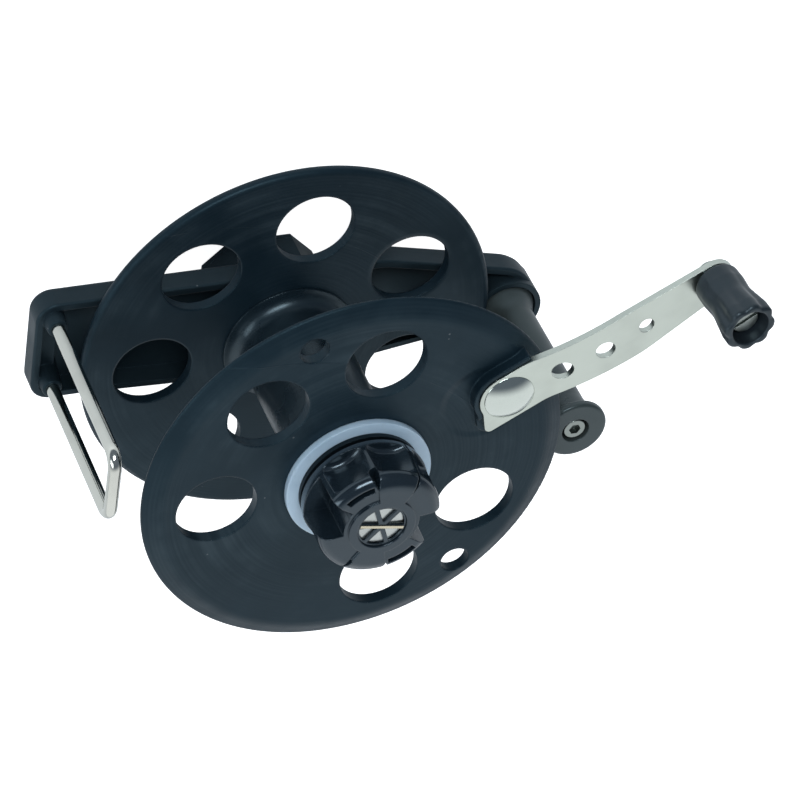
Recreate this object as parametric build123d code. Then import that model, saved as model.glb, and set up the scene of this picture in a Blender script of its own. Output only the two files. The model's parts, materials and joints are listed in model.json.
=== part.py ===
from build123d import *
import os
from math import atan2, cos, degrees, radians, sin, sqrt

os.makedirs("parts", exist_ok=True)

# A diver's hand line reel, in millimetres. It lies on its back: +Z runs along the spool's axis
# from the rear cover to the crank, and +X runs along the frame towards the handle post.

# Spool: two flanges screwed to a hollow drum
SPOOL_R = 80.0
DRUM_R = 19.5
DRUM_WALL = 3.0
DRUM_END = 4.0
DRUM_FOOT_R = 25.5
DRUM_FOOT_FILLET = 5.8
BUSH_R = 10.0
BUSH_LENGTH = 14.0
REAR_BACK = 35.8
REAR_FRONT = 40.0
FRONT_BACK = 111.5
FRONT_FRONT = 116.0
RIM_SLOPE = 6.5
RIM_DROP = 3.2
HOLE_R = 15.2
HOLE_PITCH_R = 52.8
HOLES_BESIDE_CRANK = 53.3
HOLE_SPACING = 50.4
SOLID_POSITION = 4
CLIP_HOLE_R = 5.5
CLIP_HOLE_PITCH_R = 67.8
CORE_SCREW_PITCH_R = 13.6

# Crank: a bowed strip bolted on a raised pad of the front flange
CRANK_ANGLE = 31.75
CRANK_R = 61.8
PAD_HEIGHT = 2.2
PAD_MARGIN = 2.0
PAD_END = 14.0
PAD_WALL_HEIGHT = 2.0
PAD_WALL_Y = -3.0
ARM_THICK = 2.5
ARM_HALF_WIDTH = 10.5
ARM_END_R = 7.7
ARM_START = -14.5
ARM_SHOULDER = (-11.2, -1.0)
ARM_CORNER_R = 10.3
ARM_TAPER_S = 50.0
ARM_TAPER_RADIUS = 60.0
ARM_HOLES = ((21.3, 4.1), (38.2, 3.7), (55.2, 3.0))
GRIP_S = 84.2
GRIP_LENGTH = 28.2
GRIP_END_R = 9.9
GRIP_FLUTES = 8
FLUTE_R = 4.0
FLUTE_DEPTH = 0.8
FLUTE_TILT = 8.0

# Axle, brake and star knob
AXLE_R = 6.0
AXLE_TAIL_R = 5.0
AXLE_TOP = 139.0
RUNNING = 0.05
GAP = 0.2
BRAKE_RING_R = 27.5
BRAKE_RING_TOP = 118.5
PLATE_TOP = 120.5
PLATE_R = 23.0
KNOB_BASE = 122.0
SKIRT_R = 24.0
SKIRT_TOP = 127.0
KNOB_R = 22.9
LOBE_TOP = 142.6
LOBE_ROUNDING = 4.4
KNOB_TOP = 143.5
BRIDGE_R = 12.6
BRIDGE_ROUNDING = 5.6
SLIT_ANGLE = 56.0
NOTCH_ANGLE = 101.0
POCKET_ANGLES = (145.5, 188.0)
POCKET_R = 14.3
HOLLOW_R = 12.0
HOLLOW_FLOOR_R = 19.4
HOLLOW_Z = (124.6, 138.6)
HOLLOW_ANGLES = (32.0, 78.5, 121.0)
SLIT_WIDTH = 1.0
SLIT_FLOOR_R = 17.5
NOTCH_FLOOR_R = 18.4
NOTCH_SPREAD = 20.0
NOTCH_LOW = 136.0
GROOVE_ANGLES = (105.0, 138.0)
GROOVE_R = (17.6, 20.0)
GROOVE_FLOOR = 136.0
WINDOW_R = 9.3
INSERT_R = 9.0
INSERT_TOP = 136.8
CAP_LOW = 141.9
CAP_HIGH = 142.7
CAP_RIB_PHASE = -11.0
CAP_RING = 0.8
CAP_RIB = 1.7
CAP_BAR = 1.2
CAP_BAR_HEIGHT = 0.4

# Frame: a shallow channel with a hub, a rear housing, a collar and two guide bosses
BAR_BACK = 19.0
BAR_FRONT = 30.0
BAR_WEB = 2.5
BAR_WALL = 3.0
HEAD_FRONT = 26.0
HEAD_RIGHT = -86.0
HUB_R = 17.0
HUB_FRONT = 33.6
HUB_FLOOR = 14.0
HOUSING_HALF_X = 22.0
HOUSING_HALF_Y = 18.2
HOUSING_CHAMFER = 10.0
COVER_THICK = 3.0
CAVITY_R = 12.5
COVER_SCREW_AT = (17.0, 7.5)
POST_AT = (92.0, -6.5)
POST_R = 8.3
POST_TOP = 103.0
POST_DISC_R = 12.4
POST_DISC_THICK = 3.2
COLLAR_R = 13.5
COLLAR_TOP = 33.0
COLLAR_FLOOR = 29.0
GUIDE_X = -88.8
GUIDE_YS = (16.8, -12.0)
GUIDE_R = 2.5
GUIDE_END = 106.0
GUIDE_BEND = 6.0
BOSS_TOP = 35.0
BOSS_FOOT_R = 5.4
BOSS_TOP_R = 3.7
COLLAR_WALL = 2.2
GUSSET_ANGLES = (60, 120, 240, 300)
GUSSET_LENGTH = 26.0
GUSSET_THICK = 3.0
GUSSET_TOP = 25.6

# Fasteners
FLAT_SCREW_R = 1.5
FLAT_HEAD_R = 2.8
DRIVE_LENGTH = 2.8
DRIVE_WIDTH = 0.6
DRIVE_DEPTH = 0.7
M5_R = 2.5
M5_NUT = 8.0
M5_NUT_HEIGHT = 4.0


def polar(radius, angle):
    """The (x, y) point at a radius and an angle in degrees."""
    return radius * cos(radians(angle)), radius * sin(radians(angle))


def disc(radius, low, high, at=(0, 0)):
    """A plain round solid between two heights."""
    return Pos(at[0], at[1], (low + high) / 2) * Cylinder(radius, high - low)


def ring(outer, inner, low, high, at=(0, 0)):
    """A round solid with a round hole through it."""
    return disc(outer, low, high, at) - disc(inner, low - 1, high + 1, at)


def hexagon(across_flats, low, high, at=(0, 0)):
    """A hexagonal prism between two heights."""
    outline = RegularPolygon(across_flats / sqrt(3), 6)
    return Pos(at[0], at[1], low) * extrude(outline, high - low)


def nut(across_flats, bore, low, high, at=(0, 0)):
    """A hexagonal nut with chamfered corners."""
    body = hexagon(across_flats, low, high, at) & bevelled(across_flats * 0.56, low, high, at)
    return body - disc(bore, low - 1, high + 1, at)


def bevelled(radius, low, high, at=(0, 0)):
    """A disc with both edges chamfered, which trims a nut's corners."""
    return chamfer(disc(radius, low, high, at).edges().filter_by(GeomType.CIRCLE), 0.6)


def outline(points, radii):
    """A closed flat outline with a rounding for each corner."""
    return make_face(FilletPolyline(*points, radius=radii, close=True))


def plate(points, radii, low, high):
    """An outline of (x, y) points raised between two heights."""
    return Pos(0, 0, low) * extrude(outline(points, radii), high - low)


def turned(points, radii=0.0):
    """An outline of (radius, height) points turned about the Z axis."""
    return revolve(Plane.XZ * outline(points, radii), Axis.Z)


def flat_screw(length, at, top, down=True):
    """A countersunk screw whose head is flush with one height."""
    cone = FLAT_HEAD_R - FLAT_SCREW_R
    points = ((0, 0), (FLAT_HEAD_R, 0), (FLAT_SCREW_R, -cone), (FLAT_SCREW_R, -length), (0, -length))
    screw = turned(points)
    return Pos(at[0], at[1], top) * (screw if down else Rot(180, 0, 0) * screw)


def screw_drive(at, top):
    """The cross recess in a small screw's head."""
    bar = Box(DRIVE_LENGTH, DRIVE_WIDTH, 2 * DRIVE_DEPTH) + Box(DRIVE_WIDTH, DRIVE_LENGTH, 2 * DRIVE_DEPTH)
    return Pos(at[0], at[1], top) * bar


def save(node, *shapes):
    """Writes one node as a solid, or as a group of like solids."""
    solids = [solid for shape in shapes for solid in shape.solids()]
    export_step(solids[0] if len(solids) == 1 else Compound(solids), f"parts/{node}.step")


# --- Spool -------------------------------------------------------------------------------------

HOLE_ANGLES = [CRANK_ANGLE] + [CRANK_ANGLE + HOLES_BESIDE_CRANK + HOLE_SPACING * k for k in range(6)]
CLIP_HOLE_ANGLES = [HOLE_ANGLES[1] + HOLE_SPACING / 2, HOLE_ANGLES[5] + HOLE_SPACING / 2]
CORE_SCREWS = [polar(CORE_SCREW_PITCH_R, angle) for angle in (90, 210, 330)]
FRONT_SCREW_LENGTH = FRONT_FRONT - FRONT_BACK + DRUM_END
REAR_SCREW_LENGTH = REAR_FRONT - REAR_BACK + DRUM_END


def front_screws():
    return [flat_screw(FRONT_SCREW_LENGTH, at, FRONT_FRONT) for at in CORE_SCREWS]


def rear_screws():
    return [flat_screw(REAR_SCREW_LENGTH, at, REAR_BACK, down=False) for at in CORE_SCREWS]


def rear_flange():
    """A plain web with a rounded rim and seven holes."""
    points = (
        (BUSH_R, REAR_BACK), (SPOOL_R, REAR_BACK), (SPOOL_R, REAR_FRONT), (BUSH_R, REAR_FRONT),
    )
    body = turned(points, (0, 1.9, 1.9, 0))
    for angle in HOLE_ANGLES:
        body -= disc(HOLE_R, REAR_BACK - 1, REAR_FRONT + 1, polar(HOLE_PITCH_R, angle))
    for screw in rear_screws():
        body -= screw
    return body


def arm_outline():
    """The crank arm's flat outline: a skewed foot that is rounded beside its bolt, and a taper."""
    corners = (
        (ARM_START, -ARM_HALF_WIDTH), (ARM_TAPER_S, -ARM_HALF_WIDTH), (GRIP_S, -ARM_END_R),
        (GRIP_S, ARM_END_R), (ARM_TAPER_S, ARM_HALF_WIDTH), (ARM_SHOULDER[0], ARM_HALF_WIDTH),
        ARM_SHOULDER,
    )
    return outline(corners, (2.0, ARM_TAPER_RADIUS, 0, 0, ARM_TAPER_RADIUS, ARM_CORNER_R, 4.0))


def crank_seat():
    """The raised pad under the crank arm, with a wall that keeps the arm from turning."""
    low = FRONT_FRONT - 1
    top = FRONT_FRONT + PAD_HEIGHT
    near = Pos(PAD_END - SPOOL_R, 0) * Rectangle(2 * SPOOL_R, 2 * SPOOL_R)
    face = offset(arm_outline(), PAD_MARGIN) & near
    pad = Pos(0, 0, low) * extrude(face, top - low)
    wall = Pos(0, 0, low) * extrude(face, top + PAD_WALL_HEIGHT - low)
    wall -= Pos(0, 0, low - 1) * extrude(offset(arm_outline(), GAP), SPOOL_R)
    wall -= Pos(0, PAD_WALL_Y - SPOOL_R / 2, top) * Box(SPOOL_R, SPOOL_R, 8)
    return ARM_PLACE * (pad + wall)


def front_flange():
    """A web whose rim slopes back, with five open holes, two small ones and the crank seat."""
    points = (
        (BUSH_R, FRONT_BACK), (SPOOL_R, FRONT_BACK), (SPOOL_R, FRONT_FRONT - RIM_DROP),
        (SPOOL_R - RIM_SLOPE, FRONT_FRONT), (BUSH_R, FRONT_FRONT),
    )
    body = turned(points, (0, 0.5, 1.0, 8.0, 0)) + crank_seat()
    for k, angle in enumerate(HOLE_ANGLES):
        if k not in (0, SOLID_POSITION):
            body -= disc(HOLE_R, FRONT_BACK - 1, FRONT_FRONT + 1, polar(HOLE_PITCH_R, angle))
    for angle in CLIP_HOLE_ANGLES:
        body -= disc(CLIP_HOLE_R, FRONT_BACK - 1, FRONT_FRONT + 1, polar(CLIP_HOLE_PITCH_R, angle))
    body -= ARM_PLACE * Pos(0, 0, FRONT_FRONT) * Box(BOLT_SQUARE, BOLT_SQUARE, 20)
    for screw in front_screws():
        body -= screw
    return body


def drum():
    """The hollow core that the line winds on, with an end plate for each flange."""
    low, high = REAR_FRONT, FRONT_BACK
    inner = DRUM_R - DRUM_WALL
    points = (
        (BUSH_R, low), (DRUM_FOOT_R, low), (DRUM_FOOT_R, low + 1), (DRUM_R, low + 1),
        (DRUM_R, high - 1), (DRUM_FOOT_R, high - 1), (DRUM_FOOT_R, high), (BUSH_R, high),
        (BUSH_R, high - DRUM_END), (inner, high - DRUM_END), (inner, low + DRUM_END),
        (BUSH_R, low + DRUM_END),
    )
    body = turned(points, (0, 0, 0, DRUM_FOOT_FILLET, DRUM_FOOT_FILLET, 0, 0, 0, 0, 1, 1, 0))
    for screw in front_screws() + rear_screws():
        body -= screw
    return body


# --- Crank -------------------------------------------------------------------------------------

ARM_PLACE = Rot(0, 0, CRANK_ANGLE) * Pos(CRANK_R, 0, 0)
ARM_FOOT_Z = FRONT_FRONT + PAD_HEIGHT + ARM_THICK / 2
ARM_RISE = 5.2
ARM_DROP = 3.6
ARM_PEAK_S = 36.0
ARM_TAIL_S = 95.0
ARM_TILT = degrees(atan2(ARM_DROP, ARM_TAIL_S - ARM_PEAK_S))
BOLT_SQUARE = 8.0
BOLT_HEAD_R = 9.6
BOLT_HEAD_HEIGHT = 3.2
BOLT_R = 4.0
BOLT_LENGTH = 9.5
CRANK_NUT = 13.0
CRANK_NUT_HEIGHT = 8.0
CRANK_NUT_FLANGE = 1.5
CRANK_NUT_FLANGE_R = 8.5
GRIP_SCREW_R = 3.0
GRIP_SEAT = 21.0
GRIP_HEAD_R = 5.4
GRIP_START = 0.8
SLOT_WIDTH = 1.4
SLOT_DEPTH = 1.2
GRIP_HEAD_HEIGHT = 2.2

ARM_GRIP_Z = ARM_FOOT_Z + ARM_RISE - (GRIP_S - ARM_PEAK_S) * ARM_DROP / (ARM_TAIL_S - ARM_PEAK_S)
GRIP_PLACE = ARM_PLACE * Pos(GRIP_S, 0, ARM_GRIP_Z) * Rot(0, ARM_TILT, 0) * Pos(0, 0, ARM_THICK / 2)


def crank_arm():
    """A bowed strip, widest at its foot, with three lightening holes that shrink outwards."""
    path = FilletPolyline(
        (ARM_START, ARM_FOOT_Z), (11.5, ARM_FOOT_Z), (ARM_PEAK_S, ARM_FOOT_Z + ARM_RISE),
        (ARM_TAIL_S, ARM_FOOT_Z + ARM_RISE - ARM_DROP), radius=(25, 130),
    )
    strip = extrude(Plane.XZ * trace(path, ARM_THICK), ARM_HALF_WIDTH + 1, both=True)
    low, high = FRONT_BACK, KNOB_TOP
    shape = Pos(0, 0, low) * extrude(arm_outline(), high - low)
    arm = strip & (shape + disc(ARM_END_R, low, high, (GRIP_S, 0)))
    for s, radius in ARM_HOLES:
        arm -= disc(radius, low, high, (s, 0))
    arm -= Pos(0, 0, ARM_FOOT_Z) * Box(BOLT_SQUARE, BOLT_SQUARE, 10)
    arm = ARM_PLACE * arm
    return arm - GRIP_PLACE * disc(M5_R, -10, 10)


def crank_bolt():
    """A domed carriage bolt with a square neck."""
    seat = ARM_FOOT_Z + ARM_THICK / 2
    sphere_r = (BOLT_HEAD_R**2 + BOLT_HEAD_HEIGHT**2) / (2 * BOLT_HEAD_HEIGHT)
    dome = Pos(0, 0, seat + BOLT_HEAD_HEIGHT - sphere_r) * Sphere(sphere_r)
    head = dome & disc(BOLT_HEAD_R + 1, seat, seat + BOLT_HEAD_HEIGHT + 1)
    neck = Pos(0, 0, (seat + FRONT_BACK) / 2) * Box(BOLT_SQUARE, BOLT_SQUARE, seat - FRONT_BACK)
    return ARM_PLACE * (head + neck + disc(BOLT_R, FRONT_BACK - BOLT_LENGTH, FRONT_BACK + 1))


def crank_nut():
    """The flanged nut behind the front flange."""
    step = FRONT_BACK - CRANK_NUT_FLANGE
    base = ring(CRANK_NUT_FLANGE_R, BOLT_R, step, FRONT_BACK)
    return ARM_PLACE * (base + nut(CRANK_NUT, BOLT_R, FRONT_BACK - CRANK_NUT_HEIGHT, step))


def crank_grip():
    """A waisted knob with a wavy outer end and a deep recess for its screw."""
    points = (
        (GRIP_SCREW_R + RUNNING, GRIP_START), (8.5, GRIP_START), (8.7, 7), (8.2, 13),
        (GRIP_END_R, 23), (GRIP_END_R, GRIP_LENGTH), (7.0, GRIP_LENGTH), (6.2, GRIP_SEAT),
        (GRIP_SCREW_R + RUNNING, GRIP_SEAT),
    )
    body = turned(points, (0, 1.2, 8, 12, 8, 1.4, 0.6, 0.4, 0))
    flute = Pos(GRIP_END_R + FLUTE_R - FLUTE_DEPTH, 0, GRIP_LENGTH) * Rot(0, -FLUTE_TILT, 0)
    for k in range(GRIP_FLUTES):
        body -= Rot(0, 0, 360 / GRIP_FLUTES * k) * flute * Cylinder(FLUTE_R, GRIP_LENGTH)
    return GRIP_PLACE * body


def grip_screw():
    """A slotted shoulder screw that the grip turns on."""
    low = GRIP_SEAT + GAP
    high = low + GRIP_HEAD_HEIGHT
    head = disc(GRIP_HEAD_R, low, high)
    head = chamfer(head.edges().filter_by(GeomType.CIRCLE).sort_by(Axis.Z)[-1], 0.5)
    head -= Pos(0, 0, high) * Box(GRIP_HEAD_R * 3, SLOT_WIDTH, 2 * SLOT_DEPTH)
    return GRIP_PLACE * (head + disc(GRIP_SCREW_R, 0, low) + disc(M5_R, -7.0, 1))


# --- Axle, brake and knob ------------------------------------------------------------------------

FLAT_HALF = 5.0
FLAT_LOW = 118.0
FLAT_HIGH = 124.5
RETAINER_R = 8.8
RETAINER_HEIGHT = 2.7
RETAINER_SHANK_R = 3.0
RETAINER_LENGTH = 11.5
SPRING_R = 12.0
SPRING_THICK = 0.3
SPRING_CONE = 0.4
SPRING_CLEARANCE = 0.4
SPRING_GAP = 0.04


def axle():
    """A stepped shaft with a threaded tail, two flats for the pressure plate and a tapped end."""
    body = disc(AXLE_R, HUB_FLOOR, AXLE_TOP) + disc(AXLE_TAIL_R, 4.4, HUB_FLOOR + 1)
    for side in (1, -1):
        centre = Pos(0, side * (FLAT_HALF + 2), (FLAT_LOW + FLAT_HIGH) / 2)
        body -= centre * Box(20, 4, FLAT_HIGH - FLAT_LOW)
    return body - disc(RETAINER_SHANK_R, AXLE_TOP - RETAINER_LENGTH - 0.5, AXLE_TOP + 1)


def retaining_screw():
    """The slotted screw in the axle's end, which keeps the knob on."""
    head = disc(RETAINER_R, AXLE_TOP, AXLE_TOP + RETAINER_HEIGHT)
    head = chamfer(head.edges().filter_by(GeomType.CIRCLE).sort_by(Axis.Z)[-1], 0.4)
    head -= Pos(0, 0, AXLE_TOP + RETAINER_HEIGHT) * Box(RETAINER_R * 3, SLOT_WIDTH, 2 * SLOT_DEPTH)
    return head + disc(RETAINER_SHANK_R, AXLE_TOP - RETAINER_LENGTH, AXLE_TOP + 0.5)


def pressure_plate():
    """A black plate keyed to the axle's flats, which presses on the nylon ring."""
    hole = disc(AXLE_R + RUNNING, FRONT_FRONT, KNOB_BASE) & Box(20, 2 * (FLAT_HALF + RUNNING), 2 * KNOB_TOP)
    return disc(PLATE_R, BRAKE_RING_TOP + GAP, PLATE_TOP) - hole


def disc_springs():
    """Two thin conical springs, inner edge to inner edge."""
    inner = AXLE_R + SPRING_CLEARANCE
    low = PLATE_TOP
    lower = (
        (SPRING_R, low), (SPRING_R, low + SPRING_THICK), (inner, low + SPRING_CONE + SPRING_THICK),
        (inner, low + SPRING_CONE),
    )
    stack = 2 * (low + SPRING_CONE + SPRING_THICK) + SPRING_GAP
    upper = [(r, stack - z) for r, z in lower]
    return turned(lower), turned(upper)


def sector(start, end, low, high):
    """A wedge between two angles, raised between two heights."""
    reach = 2 * SPOOL_R
    corners = ((0, 0), polar(reach, start), polar(reach, (start + end) / 2), polar(reach, end))
    return Pos(0, 0, low) * extrude(make_face(Polyline(*corners, close=True)), high - low)


def knob_lobes():
    """The turned body with its rounded front edge."""
    points = (
        (INSERT_R, KNOB_BASE), (SKIRT_R - 0.6, KNOB_BASE), (SKIRT_R, SKIRT_TOP), (KNOB_R, LOBE_TOP),
        (WINDOW_R, LOBE_TOP), (WINDOW_R, INSERT_TOP), (INSERT_R, INSERT_TOP),
    )
    return turned(points, (0, 1.0, 2.0, LOBE_ROUNDING, 0, 0, 0))


def knob_bridge():
    """The raised middle of the face, which runs out to the rim on two sides."""
    low = LOBE_TOP - BRIDGE_ROUNDING
    points = ((WINDOW_R, low), (KNOB_R, low), (KNOB_R, KNOB_TOP), (WINDOW_R, KNOB_TOP))
    body = turned(points, (0, 0, BRIDGE_ROUNDING, 0.4))
    arms = sector(SLIT_ANGLE, NOTCH_ANGLE, low, KNOB_TOP)
    arms += Rot(0, 0, 180) * arms
    return body & (disc(BRIDGE_R, low, KNOB_TOP) + arms)


def star_knob():
    """A hand knob with six hollows, two deep pockets, and a free bar before two of the hollows."""
    body = knob_lobes() + knob_bridge()
    low, high = HOLLOW_Z
    cutter = disc(HOLLOW_R, low, high, (HOLLOW_FLOOR_R + HOLLOW_R, 0))
    cutter = fillet(cutter.edges().filter_by(GeomType.CIRCLE), 2.0)
    cuts = [Rot(0, 0, angle) * cutter for angle in HOLLOW_ANGLES]
    reach = SKIRT_R + 1 - SLIT_FLOOR_R
    slit_z = (KNOB_BASE + KNOB_TOP) / 2
    height = KNOB_TOP - KNOB_BASE + 2
    slit = Pos(SLIT_FLOOR_R + reach / 2, 0, slit_z) * Box(reach, SLIT_WIDTH, height)
    cuts.append(Rot(0, 0, SLIT_ANGLE) * slit)
    notch = sector(-NOTCH_SPREAD, NOTCH_SPREAD, NOTCH_LOW, KNOB_TOP + 1)
    cuts.append(Rot(0, 0, NOTCH_ANGLE) * Pos(NOTCH_FLOOR_R, 0, 0) * notch)
    pocket = sector(*POCKET_ANGLES, SKIRT_TOP, KNOB_TOP + 1)
    cuts.append(pocket - disc(POCKET_R, SKIRT_TOP - 1, KNOB_TOP + 2))
    groove = sector(*GROOVE_ANGLES, GROOVE_FLOOR, KNOB_TOP + 1)
    cuts.append(groove & ring(GROOVE_R[1], GROOVE_R[0], GROOVE_FLOOR, KNOB_TOP + 1))
    for cut in cuts:
        body -= cut
        body -= Rot(0, 0, 180) * cut
    return body


def knob_insert():
    """The brass bush that runs on the axle's thread."""
    return ring(INSERT_R, AXLE_R + RUNNING, KNOB_BASE, INSERT_TOP)


def knob_cap():
    """A snap-in ring with six ribs over the axle's end."""
    inner = WINDOW_R - CAP_RING
    body = ring(WINDOW_R, inner, CAP_LOW, CAP_HIGH)
    rib = Pos(0, 0, (CAP_LOW + CAP_HIGH) / 2) * Box(2 * inner + CAP_RING, CAP_RIB, CAP_HIGH - CAP_LOW)
    for k in range(3):
        body += Rot(0, 0, 60 * k + CAP_RIB_PHASE) * rib
    return body


def cap_bar():
    """A thin metal bar let in along one of the cap's ribs."""
    bar = Box(2 * (WINDOW_R - CAP_RING), CAP_BAR, CAP_BAR_HEIGHT)
    return Rot(0, 0, CAP_RIB_PHASE) * Pos(0, 0, CAP_HIGH + CAP_BAR_HEIGHT / 2) * bar


# --- Frame -------------------------------------------------------------------------------------

BAR_CORNERS = (
    (-95.6, 24), (40, 24), (99, 9.8), (106, -8), (104, -20.4), (80, -20.4), (62, -18.6),
    (38, -22.6), (-42, -22.6), (-76, -21), (-95.6, -21),
)
BAR_RADII = (8, 30, 18, 10, 11, 20, 20, 30, 20, 10, 8)
HOUSING = (
    (HOUSING_HALF_X, HOUSING_HALF_Y), (-HOUSING_HALF_X, HOUSING_HALF_Y),
    (-HOUSING_HALF_X, -HOUSING_HALF_Y), (HOUSING_HALF_X, -HOUSING_HALF_Y),
)
COVER_SCREW_LENGTH = 11.0
RECESS_R = 5.3
RECESS_FLOOR = POST_TOP - 6.0
POST_WASHER_TOP = RECESS_FLOOR + 0.8
POST_HEAD_R = 4.3
POST_HEAD_HEIGHT = 4.4
POST_HEX = 4.0


def housing_block(low, high):
    """The rear housing's outline, raised between two heights."""
    block = plate(HOUSING, 0.0, low, high)
    return chamfer(block.edges().filter_by(Axis.Z), HOUSING_CHAMFER)


def cover_screw_spots():
    x, y = COVER_SCREW_AT
    return [(sx * x, sy * y) for sx in (1, -1) for sy in (1, -1)]


def cover_screws():
    return [flat_screw(COVER_SCREW_LENGTH, at, 0, down=False) for at in cover_screw_spots()]


def channel():
    """The bar itself, a tray that is open towards the spool."""
    face = outline(BAR_CORNERS, BAR_RADII)
    body = Pos(0, 0, BAR_BACK) * extrude(face, BAR_FRONT - BAR_BACK)
    body = fillet(body.faces().sort_by(Axis.Z)[0].edges(), 2.6)
    body = fillet(body.faces().sort_by(Axis.Z)[-1].edges(), 1.0)
    inside = offset(face, -BAR_WALL)
    tray = inside & Pos(100 + HEAD_RIGHT, 0) * Rectangle(200, 200)
    head = inside & Pos(HEAD_RIGHT - 50, 0) * Rectangle(100, 200)
    body -= Pos(0, 0, BAR_BACK + BAR_WEB) * extrude(tray, BAR_FRONT)
    return body - Pos(0, 0, HEAD_FRONT) * extrude(head, BAR_FRONT)


def gussets():
    """Four ribs that brace the hub against the channel's walls."""
    rib = Box(GUSSET_LENGTH, GUSSET_THICK, GUSSET_TOP - BAR_BACK)
    rib = Pos(HUB_R + 4, 0, (GUSSET_TOP + BAR_BACK) / 2) * rib
    keep = Pos(0, 0, BAR_BACK + 1) * extrude(offset(outline(BAR_CORNERS, BAR_RADII), -1.0), 30)
    return [Rot(0, 0, angle) * rib & keep for angle in GUSSET_ANGLES]


def frame():
    """The moulded frame with everything that is one piece with it."""
    low = BAR_BACK + 0.5
    body = channel()
    for rib in gussets():
        body += rib
    body += housing_block(COVER_THICK, BAR_BACK + BAR_WEB)
    body += turned(((0, low), (HUB_R + 3, low), (HUB_R, HUB_FRONT), (0, HUB_FRONT)), (0, 0, 1.0, 0))
    body += disc(COLLAR_R, low, COLLAR_TOP, POST_AT)
    body -= disc(COLLAR_R - COLLAR_WALL, COLLAR_FLOOR, COLLAR_TOP + 1, POST_AT)
    points = ((0, low), (BOSS_FOOT_R, low), (BOSS_TOP_R, BOSS_TOP), (0, BOSS_TOP))
    boss = turned(points, (0, 0, 0.7, 0))
    for y in GUIDE_YS:
        body += Pos(GUIDE_X, y, 0) * boss
    body -= disc(CAVITY_R, COVER_THICK - 1, HUB_FLOOR)
    body -= disc(AXLE_R, 0, HUB_FRONT + 1)
    for at in [POST_AT] + [(GUIDE_X, y) for y in GUIDE_YS]:
        body -= disc(M5_R, 0, BOSS_TOP + 1, at)
        body -= hexagon(M5_NUT, 0, BAR_BACK + M5_NUT_HEIGHT + 0.3, at)
    for screw in cover_screws():
        body -= screw
    return body


def rear_cover():
    """The plate that closes the housing, and the face that the reel rests on."""
    body = housing_block(0, COVER_THICK)
    body = chamfer(body.faces().sort_by(Axis.Z)[0].edges(), 0.8)
    for screw in cover_screws():
        body -= screw
    return body


def cross_headed(screws, spots, height):
    """Cuts the cross recess into each screw's head."""
    return [screw - screw_drive(at, height) for screw, at in zip(screws, spots)]


def wire_guide():
    """A bent rod whose two legs run along the spool, for the line to pass between."""
    top, bottom = GUIDE_YS
    path = FilletPolyline(
        (GUIDE_X, top, BAR_BACK + 0.5), (GUIDE_X, top, GUIDE_END), (GUIDE_X, bottom, GUIDE_END),
        (GUIDE_X, bottom, BAR_BACK + 0.5), radius=(GUIDE_BEND, GUIDE_BEND),
    )
    return sweep(Plane((GUIDE_X, top, BAR_BACK + 0.5)) * Circle(GUIDE_R), path=path)


def handle_post():
    """A slim round post with a flared foot and a broad end, bored for its long screw."""
    floor = COLLAR_FLOOR
    disc_back = POST_TOP - POST_DISC_THICK
    points = (
        (M5_R + 0.1, floor), (COLLAR_R - 2.4, floor), (COLLAR_R - 2.6, floor + 3.0),
        (POST_R - 0.2, floor + 9), (POST_R, POST_TOP - 12), (POST_R + 0.7, disc_back - 0.8),
        (POST_DISC_R, disc_back), (POST_DISC_R, POST_TOP), (RECESS_R, POST_TOP),
        (RECESS_R, RECESS_FLOOR), (M5_R + 0.1, RECESS_FLOOR),
    )
    body = turned(points, (0, 0, 1.5, 12, 12, 1.2, 1.1, 1.3, 0.3, 0, 0))
    return Pos(*POST_AT, 0) * body


def post_screw():
    """A long socket-head screw through the post into the frame."""
    seat = POST_WASHER_TOP
    head = disc(POST_HEAD_R, seat, seat + POST_HEAD_HEIGHT)
    head = fillet(head.edges().filter_by(GeomType.CIRCLE).sort_by(Axis.Z)[-1], 0.5)
    head -= hexagon(POST_HEX, seat + POST_HEAD_HEIGHT - 2.6, seat + POST_HEAD_HEIGHT + 1)
    return Pos(*POST_AT, 0) * (head + disc(M5_R, BAR_BACK + 0.4, seat + 0.5))


def m5_nut(at):
    return nut(M5_NUT, M5_R, BAR_BACK + 0.3, BAR_BACK + 0.3 + M5_NUT_HEIGHT, at)


save("frame", frame())
save("rear_cover", rear_cover())
save("cover_screws", *cross_headed(cover_screws(), cover_screw_spots(), 0))
save("axle", axle())
save("axle_washer", ring(10.0, AXLE_TAIL_R + 0.1, HUB_FLOOR - 1.5, HUB_FLOOR))
save("axle_nut", nut(16.0, AXLE_TAIL_R, HUB_FLOOR - 9.0, HUB_FLOOR - 1.5))
save("retaining_screw", retaining_screw())
save("thrust_washer", ring(16.0, AXLE_R + 0.1, HUB_FRONT, REAR_BACK - GAP))
save("wire_guide", wire_guide())
save("guide_nuts", *[m5_nut((GUIDE_X, y)) for y in GUIDE_YS])
save("handle_post", handle_post())
save("post_screw", post_screw())
save("post_washer", ring(RECESS_R - 0.3, M5_R, RECESS_FLOOR, POST_WASHER_TOP, POST_AT))
save("post_nut", m5_nut(POST_AT))

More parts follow.
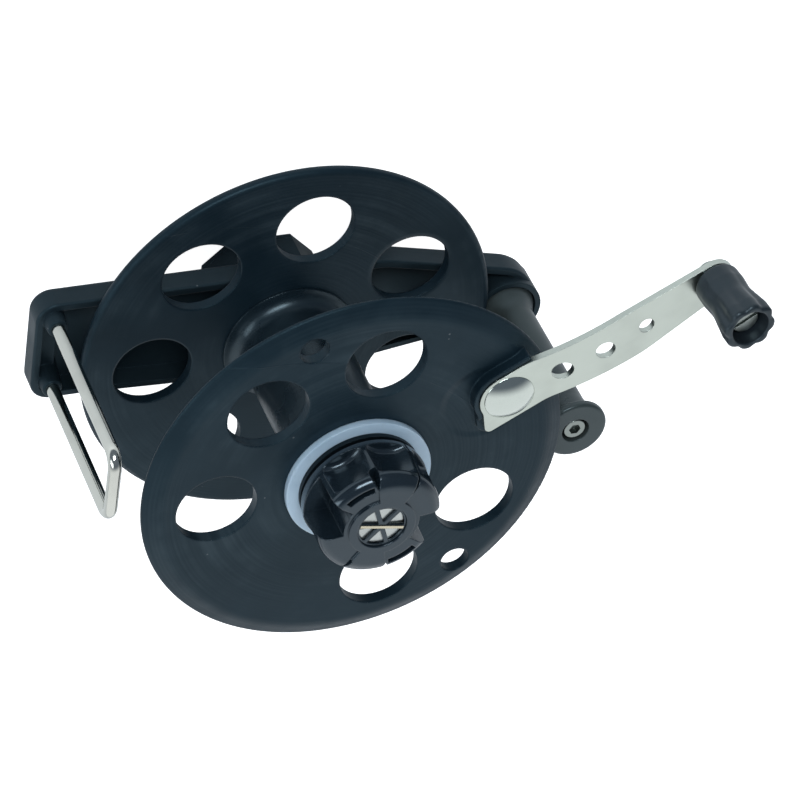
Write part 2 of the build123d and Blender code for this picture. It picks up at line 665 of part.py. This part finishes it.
save("rear_flange", rear_flange())
save("front_flange", front_flange())
save("drum", drum())
save("rear_bush", ring(BUSH_R, AXLE_R + RUNNING, REAR_BACK, REAR_BACK + BUSH_LENGTH))
save("front_bush", ring(BUSH_R, AXLE_R + RUNNING, FRONT_FRONT - BUSH_LENGTH, FRONT_FRONT))
save("rear_flange_screws", *cross_headed(rear_screws(), CORE_SCREWS, REAR_BACK))
save("front_flange_screws", *cross_headed(front_screws(), CORE_SCREWS, FRONT_FRONT))
save("brake_ring", ring(BRAKE_RING_R, 8.0, FRONT_FRONT, BRAKE_RING_TOP))
save("crank_arm", crank_arm())
save("crank_bolt", crank_bolt())
save("crank_nut", crank_nut())
save("grip_screw", grip_screw())
save("grip_washer", GRIP_PLACE * ring(6.5, GRIP_SCREW_R, 0, GRIP_START - GAP))
save("grip_nut", GRIP_PLACE * nut(M5_NUT, M5_R, -ARM_THICK - 4.0, -ARM_THICK))
save("crank_grip", crank_grip())

save("pressure_plate", pressure_plate())
save("disc_springs", *disc_springs())
save("star_knob", star_knob())
save("knob_insert", knob_insert())
save("knob_cap", knob_cap())
save("cap_bar", cap_bar())
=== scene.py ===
import json
from math import acos, cos, radians, sin, tau

import bpy
from mathutils import Matrix, Vector


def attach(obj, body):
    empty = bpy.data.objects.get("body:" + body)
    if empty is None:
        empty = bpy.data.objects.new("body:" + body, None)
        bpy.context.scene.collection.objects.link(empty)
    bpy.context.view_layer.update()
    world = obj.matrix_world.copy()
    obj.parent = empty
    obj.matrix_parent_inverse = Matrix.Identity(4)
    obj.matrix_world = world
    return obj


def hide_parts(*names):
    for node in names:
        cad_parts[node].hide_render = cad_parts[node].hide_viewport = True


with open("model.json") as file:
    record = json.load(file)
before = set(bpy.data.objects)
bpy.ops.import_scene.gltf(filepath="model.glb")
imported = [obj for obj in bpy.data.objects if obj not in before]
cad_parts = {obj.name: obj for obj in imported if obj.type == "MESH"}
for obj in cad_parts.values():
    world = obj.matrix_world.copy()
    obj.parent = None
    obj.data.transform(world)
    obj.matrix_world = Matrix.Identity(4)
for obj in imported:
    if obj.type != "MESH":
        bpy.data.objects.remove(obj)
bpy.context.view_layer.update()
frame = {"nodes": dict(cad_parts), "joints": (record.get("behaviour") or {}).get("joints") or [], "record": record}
MM = 0.001


# --- Mesh helpers --------------------------------------------------------------------------------

SHARP_ANGLE = radians(40)
STRAIGHT = 1e-4  # a corner that turns by less, in radians, is left as it is


def smooth(low, high, value):
    """0 below low, 1 above high, and an easy curve between them."""
    t = min(1.0, max(0.0, (value - low) / (high - low)))
    return t * t * (3 - 2 * t)


def rounded(corners, steps=6):
    """An open outline of (radius, height, rounding) corners as points, each corner an arc."""
    points = []
    for i, (x, z, r) in enumerate(corners):
        here = Vector((x, z))
        before = Vector(corners[i - 1][:2]) if i else None
        after = Vector(corners[i + 1][:2]) if i + 1 < len(corners) else None
        if not r or before is None or after is None:
            points.append(here)
            continue
        a = (before - here).normalized()
        b = (after - here).normalized()
        half = acos(max(-1.0, min(1.0, a.dot(b)))) / 2
        reach = r / max(1e-6, sin(half) / cos(half))
        centre = here + (a + b).normalized() * (r / sin(half))
        start = here + a * reach - centre
        end = here + b * reach - centre
        sweep = acos(max(-1.0, min(1.0, start.dot(end) / r**2)))
        if sweep < STRAIGHT:
            points.append(here)
            continue
        for k in range(steps + 1):
            t = k / steps
            turn = (start * sin((1 - t) * sweep) + end * sin(t * sweep)) / sin(sweep)
            points.append(centre + turn)
    return points


def refined(points, step):
    """The same outline with points added so that no run is longer than step."""
    out = [points[0]]
    for a, b in zip(points, points[1:]):
        n = max(1, int((b - a).length / step + 0.999))
        out += [a.lerp(b, (k + 1) / n) for k in range(n)]
    return out


def link(name, data):
    """A new object in the scene that shows the data."""
    obj = bpy.data.objects.new(name, data)
    bpy.context.scene.collection.objects.link(obj)
    return obj


def lathe(name, profile, turns, radius, place, body, slot, node):
    """A closed turned skin in place of a CAD node, with radius(r, z, angle) at each point."""
    verts = []
    for i in range(turns):
        angle = tau * i / turns
        for p in profile:
            r = radius(p.x, p.y, angle)
            verts.append(place @ Vector((r * cos(angle) * MM, r * sin(angle) * MM, p.y * MM)))
    m = len(profile)
    faces = []
    for i in range(turns):
        j = (i + 1) % turns
        for k in range(m):
            q = (k + 1) % m
            faces.append((i * m + k, j * m + k, j * m + q, i * m + q))
    mesh = bpy.data.meshes.new(name)
    mesh.from_pydata(verts, [], faces)
    mesh.shade_smooth()
    mesh.set_sharp_from_angle(angle=SHARP_ANGLE)
    mesh.materials.append(materials[slot])
    obj = link(name, mesh)
    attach(obj, body)
    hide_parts(node)


# --- Shader helpers ------------------------------------------------------------------------------

class Tree:
    """The nodes of a material or a world, added and linked by short calls."""

    def __init__(self, owner):
        owner.use_nodes = True
        self.owner = owner
        self.tree = owner.node_tree
        self.tree.nodes.clear()
        self.coordinates = self.add("ShaderNodeTexCoord").outputs
        self.place = self.coordinates["Object"]

    def add(self, kind, **settings):
        node = self.tree.nodes.new(kind)
        for key, value in settings.items():
            setattr(node, key, value)
        return node

    def put(self, socket, value):
        """Links a socket to another node's output, or sets it to a plain value."""
        if isinstance(value, bpy.types.NodeSocket):
            self.tree.links.new(value, socket)
        else:
            socket.default_value = value

    def math(self, operation, a, b=0.0):
        node = self.add("ShaderNodeMath", operation=operation)
        self.put(node.inputs[0], a)
        self.put(node.inputs[1], b)
        return node.outputs[0]

    def times(self, a, b):
        return self.math("MULTIPLY", a, b)

    def vector(self, operation, a, b=(0, 0, 0), output="Vector"):
        """Vector arithmetic, whose lengths and dot products come out as "Value"."""
        node = self.add("ShaderNodeVectorMath", operation=operation)
        self.put(node.inputs[0], a)
        self.put(node.inputs[1], b)
        return node.outputs[output]

    def ramp(self, value, low, high, out_low=0.0, out_high=1.0, curve="SMOOTHSTEP"):
        """The run from low to high carried over to the run from out_low to out_high."""
        node = self.add("ShaderNodeMapRange", interpolation_type=curve)
        self.put(node.inputs["Value"], value)
        node.inputs["From Min"].default_value = low
        node.inputs["From Max"].default_value = high
        node.inputs["To Min"].default_value = out_low
        node.inputs["To Max"].default_value = out_high
        return node.outputs[0]

    def mix(self, amount, a, b):
        """Colour a going over to colour b, each an output or a tuple of red, green and blue."""
        node = self.add("ShaderNodeMix", data_type="RGBA")
        factor, first, second = (node.inputs[k] for k in (0, 6, 7))
        self.put(factor, amount)
        self.put(first, (*a, 1) if isinstance(a, tuple) else a)
        self.put(second, (*b, 1) if isinstance(b, tuple) else b)
        return node.outputs[2]

    def noise(self, scale, detail=3.0, rough=0.5, place=None):
        """Cloudy noise, at the piece's own coordinates if no others are given."""
        node = self.add("ShaderNodeTexNoise")
        self.put(node.inputs["Vector"], place or self.place)
        node.inputs["Scale"].default_value = scale
        node.inputs["Detail"].default_value = detail
        node.inputs["Roughness"].default_value = rough
        return node.outputs["Fac"]

    def turned(self, angle):
        """The piece's coordinates turned about the spool's axis."""
        node = self.add("ShaderNodeVectorRotate", rotation_type="Z_AXIS")
        self.put(node.inputs["Vector"], self.place)
        node.inputs["Angle"].default_value = angle
        return node.outputs[0]

    def flat(self):
        """The piece's coordinates with their height left out."""
        return self.vector("MULTIPLY", self.place, (1, 1, 0))

    def rings(self, scale):
        """Uneven turned rings about the spool's axis."""
        node = self.add("ShaderNodeTexNoise", noise_dimensions="1D")
        self.put(node.inputs["W"], self.vector("LENGTH", self.flat(), output="Value"))
        node.inputs["Scale"].default_value = scale
        node.inputs["Detail"].default_value = 4.0
        return self.ramp(node.outputs["Fac"], 0.35, 0.68)

    def specks(self, scale, size, share):
        """Small round specks, in that share of the cells."""
        node = self.add("ShaderNodeTexVoronoi")
        self.put(node.inputs["Vector"], self.place)
        node.inputs["Scale"].default_value = scale
        near = self.ramp(node.outputs["Distance"], size * 0.4, size, 1.0, 0.0)
        split = self.add("ShaderNodeSeparateColor")
        self.put(split.inputs[0], node.outputs["Color"])
        return self.times(near, self.math("LESS_THAN", split.outputs[0], share))

    def soft_normal(self, radius):
        """The normal as if every edge were rounded to the radius."""
        node = self.add("ShaderNodeBevel", samples=6)
        node.inputs["Radius"].default_value = radius
        return node.outputs[0]

    def edges(self, soft_normal):
        """1 at the edges, where the soft normal leans away from the plain one, and 0 elsewhere."""
        plain = self.add("ShaderNodeNewGeometry").outputs["Normal"]
        same = self.vector("DOT_PRODUCT", soft_normal, plain, output="Value")
        return self.ramp(same, 0.80, 0.985, 1.0, 0.0)

    def bump(self, height, depth, normal=None):
        node = self.add("ShaderNodeBump")
        node.inputs["Distance"].default_value = depth
        self.put(node.inputs["Height"], height)
        if normal is not None:
            self.put(node.inputs["Normal"], normal)
        return node.outputs[0]

    def camera_rays(self):
        """1 for the camera's own rays, and 0 for light that bounces."""
        return self.add("ShaderNodeLightPath").outputs["Is Camera Ray"]

    def finish(self, colour, roughness, normal, **more):
        """The surface shader, with any further sockets by name."""
        shader = self.add("ShaderNodeBsdfPrincipled")
        sockets = {"Base Color": colour, "Roughness": roughness, "Normal": normal, **more}
        for key, value in sockets.items():
            self.put(shader.inputs[key], value)
        out = self.add("ShaderNodeOutputMaterial")
        self.put(out.inputs["Surface"], shader.outputs[0])
        return self.owner


# --- Materials -----------------------------------------------------------------------------------

RUBBED_EDGE = (0.16, 0.18, 0.19)
DUST = (0.30, 0.32, 0.33)
RING_TONE = (0.030, 0.044, 0.054)
HAZE_TONE = (0.036, 0.052, 0.062)
NYLON_GRIME = (0.20, 0.24, 0.28)

CRANK_ANGLE = radians(31.75)
CRANK_SEAT = (0.0449, 0.0278, 0)
SHOULDER_FOOT_R = 0.0138
SHOULDER_TOP_R = 0.0172
SHOULDER_HEIGHT = 0.0004
SCRATCH_CENTRE = (-0.0394, -0.0554, 0)
SCRATCH_R = 0.1148
SCRATCH_DEPTH = 0.00006


def shine(level, *tint):
    """How strongly a plastic reflects, and the red, green and blue of its reflections."""
    return {"Specular IOR Level": level, "Specular Tint": (*tint, 1.0)}


FAINT_SHINE = shine(0.26, 0.52, 0.84, 1.0)


def plastic(name, dark, light, rough, grain, edge=0.0005, ring_depth=0.0, wear=0.25, relief=None,
            gloss=FAINT_SHINE):
    """Black plastic: clouded colour, fine grain, dust, and edges rubbed lighter."""
    t = Tree(bpy.data.materials.new(name))
    normal = t.soft_normal(edge)
    edges = t.edges(normal)
    scuffs = t.ramp(t.noise(160.0, 5.0, 0.65), 0.56, 0.72)
    colour = t.mix(t.ramp(t.noise(38.0, 4.0), 0.35, 0.65), dark, light)
    colour = t.mix(t.times(t.times(edges, scuffs), wear), colour, RUBBED_EDGE)
    colour = t.mix(t.times(t.specks(260.0, 0.13, 0.02), 0.30), colour, DUST)
    uneven = t.ramp(t.noise(90.0, 4.0), 0.3, 0.7, rough - 0.05, rough + 0.05)
    roughness = t.math("SUBTRACT", uneven, t.times(edges, 0.06))
    normal = t.bump(t.noise(2600.0, 2.0), grain, normal)
    if ring_depth:
        fine = t.times(t.rings(900.0), t.ramp(t.noise(22.0, 2.0), 0.36, 0.62))
        haze = t.times(t.ramp(t.noise(26.0, 5.0, 0.6), 0.42, 0.74), t.rings(130.0))
        colour = t.mix(t.times(fine, 0.16), colour, RING_TONE)
        colour = t.mix(t.times(haze, 0.55), colour, HAZE_TONE)
        normal = t.bump(fine, ring_depth, normal)
    if relief:
        normal = relief(t, normal)
    return t.finish(colour, roughness, normal, **gloss)


def flange_relief(t, normal):
    """The faint round shoulder about the crank's seat, and one long curved scratch."""
    from_seat = t.vector("DISTANCE", t.flat(), CRANK_SEAT, output="Value")
    normal = t.bump(t.ramp(from_seat, SHOULDER_FOOT_R, SHOULDER_TOP_R), SHOULDER_HEIGHT, normal)
    from_centre = t.vector("DISTANCE", t.flat(), SCRATCH_CENTRE, output="Value")
    off_arc = t.math("ABSOLUTE", t.math("SUBTRACT", from_centre, SCRATCH_R))
    gaps = t.ramp(t.noise(70.0, 3.0), 0.35, 0.6)
    scratch = t.times(t.ramp(off_arc, 0.00005, 0.0003, 1.0, 0.0), gaps)
    return t.bump(scratch, SCRATCH_DEPTH, normal)


def metal(name, colour, rough, brush, along=(1, 1, 1), turn=0.0):
    """Steel or brass: brushed along one direction, with faint stains."""
    t = Tree(bpy.data.materials.new(name))
    grain = t.noise(900.0, 4.0, 0.6, t.vector("MULTIPLY", t.turned(turn), along))
    stains = t.ramp(t.noise(55.0, 3.0), 0.4, 0.75)
    stained = tuple(c * 0.88 for c in colour)
    streaked = tuple(c * 0.72 for c in colour)
    base = t.mix(stains, colour, stained)
    base = t.mix(t.times(grain, 0.12), base, streaked)
    roughness = t.math("ADD", t.times(grain, 0.10), rough - 0.05)
    normal = t.bump(grain, brush, t.soft_normal(0.0003))
    return t.finish(base, roughness, normal, Metallic=1.0)


def nylon(name, dark, light):
    """Pale waxy nylon with a little light inside it."""
    t = Tree(bpy.data.materials.new(name))
    cloud = t.ramp(t.noise(60.0, 4.0), 0.3, 0.7)
    grime = t.times(t.ramp(t.noise(210.0, 5.0, 0.7), 0.58, 0.80), 0.25)
    colour = t.mix(grime, t.mix(cloud, dark, light), NYLON_GRIME)
    roughness = t.ramp(t.noise(120.0, 3.0), 0.3, 0.7, 0.34, 0.44)
    normal = t.bump(t.noise(1800.0, 2.0), 0.00001, t.soft_normal(0.0010))
    inside = {
        "Subsurface Weight": 0.25,
        "Subsurface Radius": (0.002, 0.002, 0.0022),
        "Subsurface Scale": 1.0,
    }
    return t.finish(colour, roughness, normal, **inside)


materials = {
    "frame_plastic": plastic(
        "frame_plastic", dark=(0.0095, 0.0165, 0.0215), light=(0.0135, 0.0220, 0.0275),
        rough=0.42, grain=0.000022, edge=0.0006),
    "post_plastic": plastic(
        "post_plastic", dark=(0.034, 0.0430, 0.0420), light=(0.042, 0.0520, 0.0510),
        rough=0.32, grain=0.000012, gloss=shine(0.5, 0.75, 0.92, 1.0)),
    "flange_plastic": plastic(
        "flange_plastic", dark=(0.0048, 0.0115, 0.0175), light=(0.0068, 0.0150, 0.0220),
        rough=0.40, grain=0.000014, edge=0.0011, ring_depth=0.00002, relief=flange_relief),
    "drum_plastic": plastic(
        "drum_plastic", dark=(0.007, 0.0135, 0.019), light=(0.009, 0.017, 0.023),
        rough=0.30, grain=0.00001, gloss=shine(0.6, 0.7, 0.9, 1.0)),
    "grip_plastic": plastic(
        "grip_plastic", dark=(0.012, 0.0165, 0.021), light=(0.017, 0.023, 0.028),
        rough=0.34, grain=0.00002, wear=0.4, gloss=shine(0.45, 0.75, 0.92, 1.0)),
    "knob_plastic": plastic(
        "knob_plastic", dark=(0.0070, 0.0120, 0.0170), light=(0.0095, 0.0160, 0.0225),
        rough=0.16, grain=0.000003, edge=0.0006, wear=0.2, gloss=shine(0.75, 0.75, 0.9, 1.0)),
    # The pressure plate's own black, made darker than the other black plastics: partly real black plate and partly
    # painted shade where the knob's base meets the nylon ring.
    "plate_plastic": plastic(
        "plate_plastic", dark=(0.003, 0.0045, 0.006), light=(0.004, 0.006, 0.008),
        rough=0.45, grain=0.000006, edge=0.0003),
    "nylon": nylon("nylon", dark=(0.42, 0.55, 0.66), light=(0.50, 0.63, 0.74)),
    "arm_steel": metal(
        "arm_steel", (0.56, 0.60, 0.54), rough=0.30, brush=0.000004,
        along=(0.05, 1.0, 1.0), turn=-CRANK_ANGLE),
    "polished_bolt": metal("polished_bolt", (0.60, 0.64, 0.59), rough=0.11, brush=0.000001),
    "polished_wire": metal(
        "polished_wire", (0.66, 0.66, 0.60), rough=0.12, brush=0.000001, along=(1, 1, 0.08)),
    "axle_steel": metal("axle_steel", (0.52, 0.54, 0.52), rough=0.28, brush=0.000003),
    "screw_steel": metal("screw_steel", (0.30, 0.33, 0.31), rough=0.30, brush=0.000003),
    "bar_metal": metal("bar_metal", (0.62, 0.56, 0.42), rough=0.28, brush=0.000003),
    "brass": metal("brass", (0.72, 0.53, 0.25), rough=0.30, brush=0.000003),
}

for part in frame["record"]["subparts"]:
    mesh = frame["nodes"][part["node"]].data
    for k in range(len(mesh.materials)):
        mesh.materials[k] = materials[part["material_slot"]]


# --- Crank grip ----------------------------------------------------------------------------------

GRIP_LENGTH = 28.2
GRIP_FOOT = 0.8
GRIP_SEAT = 21.0
GRIP_R = 9.9
GRIP_BORE_R = 3.05
GRIP_LOBES = 8
LOBE_DEPTH = 1.0
SKIN_STEP = 0.4
SKIN_TURNS = 192


def grip_radius(r, z, angle):
    """Flutes that are faint along the body and deepen into lobes at the outer end."""
    wave = 0.5 - 0.5 * cos(GRIP_LOBES * angle)
    along = 0.35 * smooth(1.0, 6.0, z) + 0.65 * smooth(12.0, 23.0, z)
    outside = smooth(6.6, 9.0, r)
    return r - LOBE_DEPTH * along * outside * wave**1.5


grip_joint = next(j for j in frame["joints"] if j["name"] == "grip_spin")
grip_axis = Vector(grip_joint["axis"]).normalized()
grip_turn = Vector((0, 0, 1)).rotation_difference(grip_axis).to_matrix().to_4x4()
grip_place = Matrix.Translation(Vector(grip_joint["pos_m"])) @ grip_turn
grip_outline = rounded([
    (GRIP_BORE_R, GRIP_FOOT, 0),
    (8.5, GRIP_FOOT, 1.2),
    (8.7, 7.0, 8),
    (8.2, 13.0, 12),
    (GRIP_R, 23.0, 8),
    (GRIP_R, GRIP_LENGTH, 1.5),
    (7.0, GRIP_LENGTH, 0.8),
    (6.2, GRIP_SEAT, 0.5),
    (GRIP_BORE_R, GRIP_SEAT, 0),
])
lathe("grip_body", refined(grip_outline, SKIN_STEP), SKIN_TURNS, grip_radius, grip_place,
      "grip", "grip_plastic", "crank_grip")


# --- Floor, lights and camera --------------------------------------------------------------------

FLOOR_HALF = 4.0
FLOOR_GLOW = 0.9
CENTRE = Vector((0.015, 0.005, 0.08))
CAMERA_AT = Vector((-0.4820, 0.9895, 1.1112))
CAMERA_UP = Vector((0.1370, 0.7479, -0.6496)).normalized()
CAMERA_BACK = Vector((-0.3372, 0.6518, 0.6793)).normalized()
CAMERA_RIGHT = CAMERA_UP.cross(CAMERA_BACK).normalized()
SENSOR_WIDTH = 36.0
FOCAL_LENGTH = 186.06
CLIP_END = 50.0
DIM_SIDE = (CAMERA_UP * 0.8 + CAMERA_BACK * 0.6).normalized()
SOFT_WHITE = (0.88, 0.95, 1.0)


def floor_material():
    """Nearly white, with a glow that only the camera's own rays see."""
    t = Tree(bpy.data.materials.new("stage_floor"))
    tone = t.ramp(t.noise(3.0, 3.0), 0.3, 0.7)
    colour = t.mix(tone, (0.93, 0.93, 0.93), (0.95, 0.95, 0.95))
    normal = t.bump(t.noise(400.0, 2.0), 0.00002)
    glow = {
        "Emission Color": (1.0, 1.0, 1.0, 1.0),
        "Emission Strength": t.times(t.camera_rays(), FLOOR_GLOW),
    }
    return t.finish(colour, 0.75, normal, **glow)


def softbox(name, direction, distance, width, height, power):
    """An area light in a direction from the reel, facing it."""
    data = bpy.data.lights.new(name, "AREA")
    data.shape = "RECTANGLE"
    data.size = width
    data.size_y = height
    data.energy = power
    data.color = SOFT_WHITE
    obj = link(name, data)
    away = Vector(direction).normalized() * distance
    obj.location = CENTRE + away
    obj.rotation_euler = (-away).to_track_quat("-Z", "Y").to_euler()


def studio_world():
    """Dim above and behind the camera and bright opposite, and plain pale to the camera's rays."""
    world = bpy.data.worlds.new("studio")
    t = Tree(world)
    towards_dim = t.vector("DOT_PRODUCT", t.coordinates["Generated"], DIM_SIDE, output="Value")
    tones = t.add("ShaderNodeValToRGB")
    tones.color_ramp.interpolation = "EASE"
    bright, dim = tones.color_ramp.elements
    bright.position = 0.24
    bright.color = (0.86, 0.90, 0.94, 1)
    dim.position = 0.50
    dim.color = (0.13, 0.155, 0.19, 1)
    t.put(tones.inputs[0], t.ramp(towards_dim, -1.0, 1.0, curve="LINEAR"))
    studio = t.add("ShaderNodeBackground")
    t.put(studio.inputs["Color"], tones.outputs[0])
    studio.inputs["Strength"].default_value = 1.15
    pale = t.add("ShaderNodeBackground")
    pale.inputs["Color"].default_value = (0.93, 0.93, 0.93, 1)
    choose = t.add("ShaderNodeMixShader")
    t.put(choose.inputs[0], t.camera_rays())
    t.put(choose.inputs[1], studio.outputs[0])
    t.put(choose.inputs[2], pale.outputs[0])
    out = t.add("ShaderNodeOutputWorld")
    t.put(out.inputs["Surface"], choose.outputs[0])
    return world


corners = ((-1, -1), (1, -1), (1, 1), (-1, 1))
floor_corners = [(x * FLOOR_HALF, y * FLOOR_HALF, 0) for x, y in corners]
floor_mesh = bpy.data.meshes.new("stage_floor")
floor_mesh.from_pydata(floor_corners, [], [(0, 1, 2, 3)])
floor_mesh.materials.append(floor_material())
floor = link("stage_floor", floor_mesh)

softbox("key", (-0.25, 0.90, 0.75), 1.5, 0.8, 0.4, power=11.0)
softbox("side", (-0.95, 0.10, 0.55), 1.6, 0.5, 1.0, power=6.0)
bpy.context.scene.world = studio_world()

lens = bpy.data.cameras.new("camera")
lens.sensor_width = SENSOR_WIDTH
lens.lens = FOCAL_LENGTH
lens.clip_end = CLIP_END
camera = link("camera", lens)
axes = Matrix((CAMERA_RIGHT, CAMERA_UP, CAMERA_BACK)).transposed().to_4x4()
camera.matrix_world = Matrix.Translation(CAMERA_AT) @ axes
bpy.context.scene.camera = camera
bpy.context.scene.view_settings.view_transform = "Standard"
